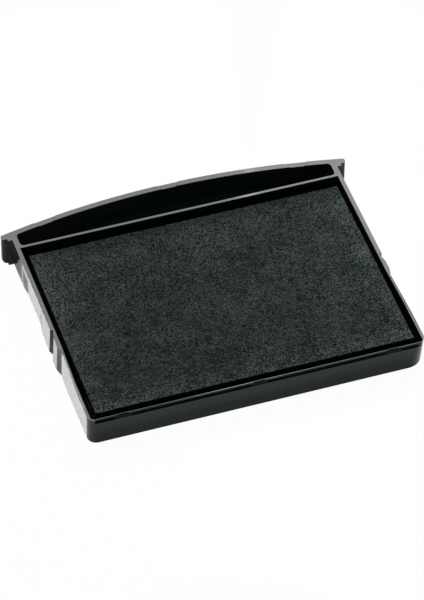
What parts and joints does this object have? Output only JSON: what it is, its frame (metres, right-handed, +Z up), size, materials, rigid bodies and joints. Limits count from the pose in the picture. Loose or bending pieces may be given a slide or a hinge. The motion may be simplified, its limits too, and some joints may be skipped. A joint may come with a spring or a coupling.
{
  "type": "ink pad",
  "caption": "Shallow black ink pad cassette with a curved finger grip, side ears, snap detents and a dark inked felt, for a self-inking stamp.",
  "frame": {"origin": "bottom centre of the bounding box, level with the foot of the curved grip wall", "axes": "+X from ear to ear, +Y from the front wall towards the curved grip, +Z up out of the pad's inked face"},
  "size_m": [0.0696, 0.0554, 0.0065],
  "materials": {
    "tray_plastic": "smooth satin-gloss black moulding",
    "adhesive": "thin double-sided sheet",
    "reservoir_foam": "ink-soaked foam",
    "inked_felt": "mottled felt, soaked with black ink"
  },
  "bodies": {
    "root": {"cassette_tray": "tray_plastic", "adhesive_sheet": "adhesive", "ink_reservoir": "reservoir_foam", "contact_felt": "inked_felt"}
  },
  "joints": []
}
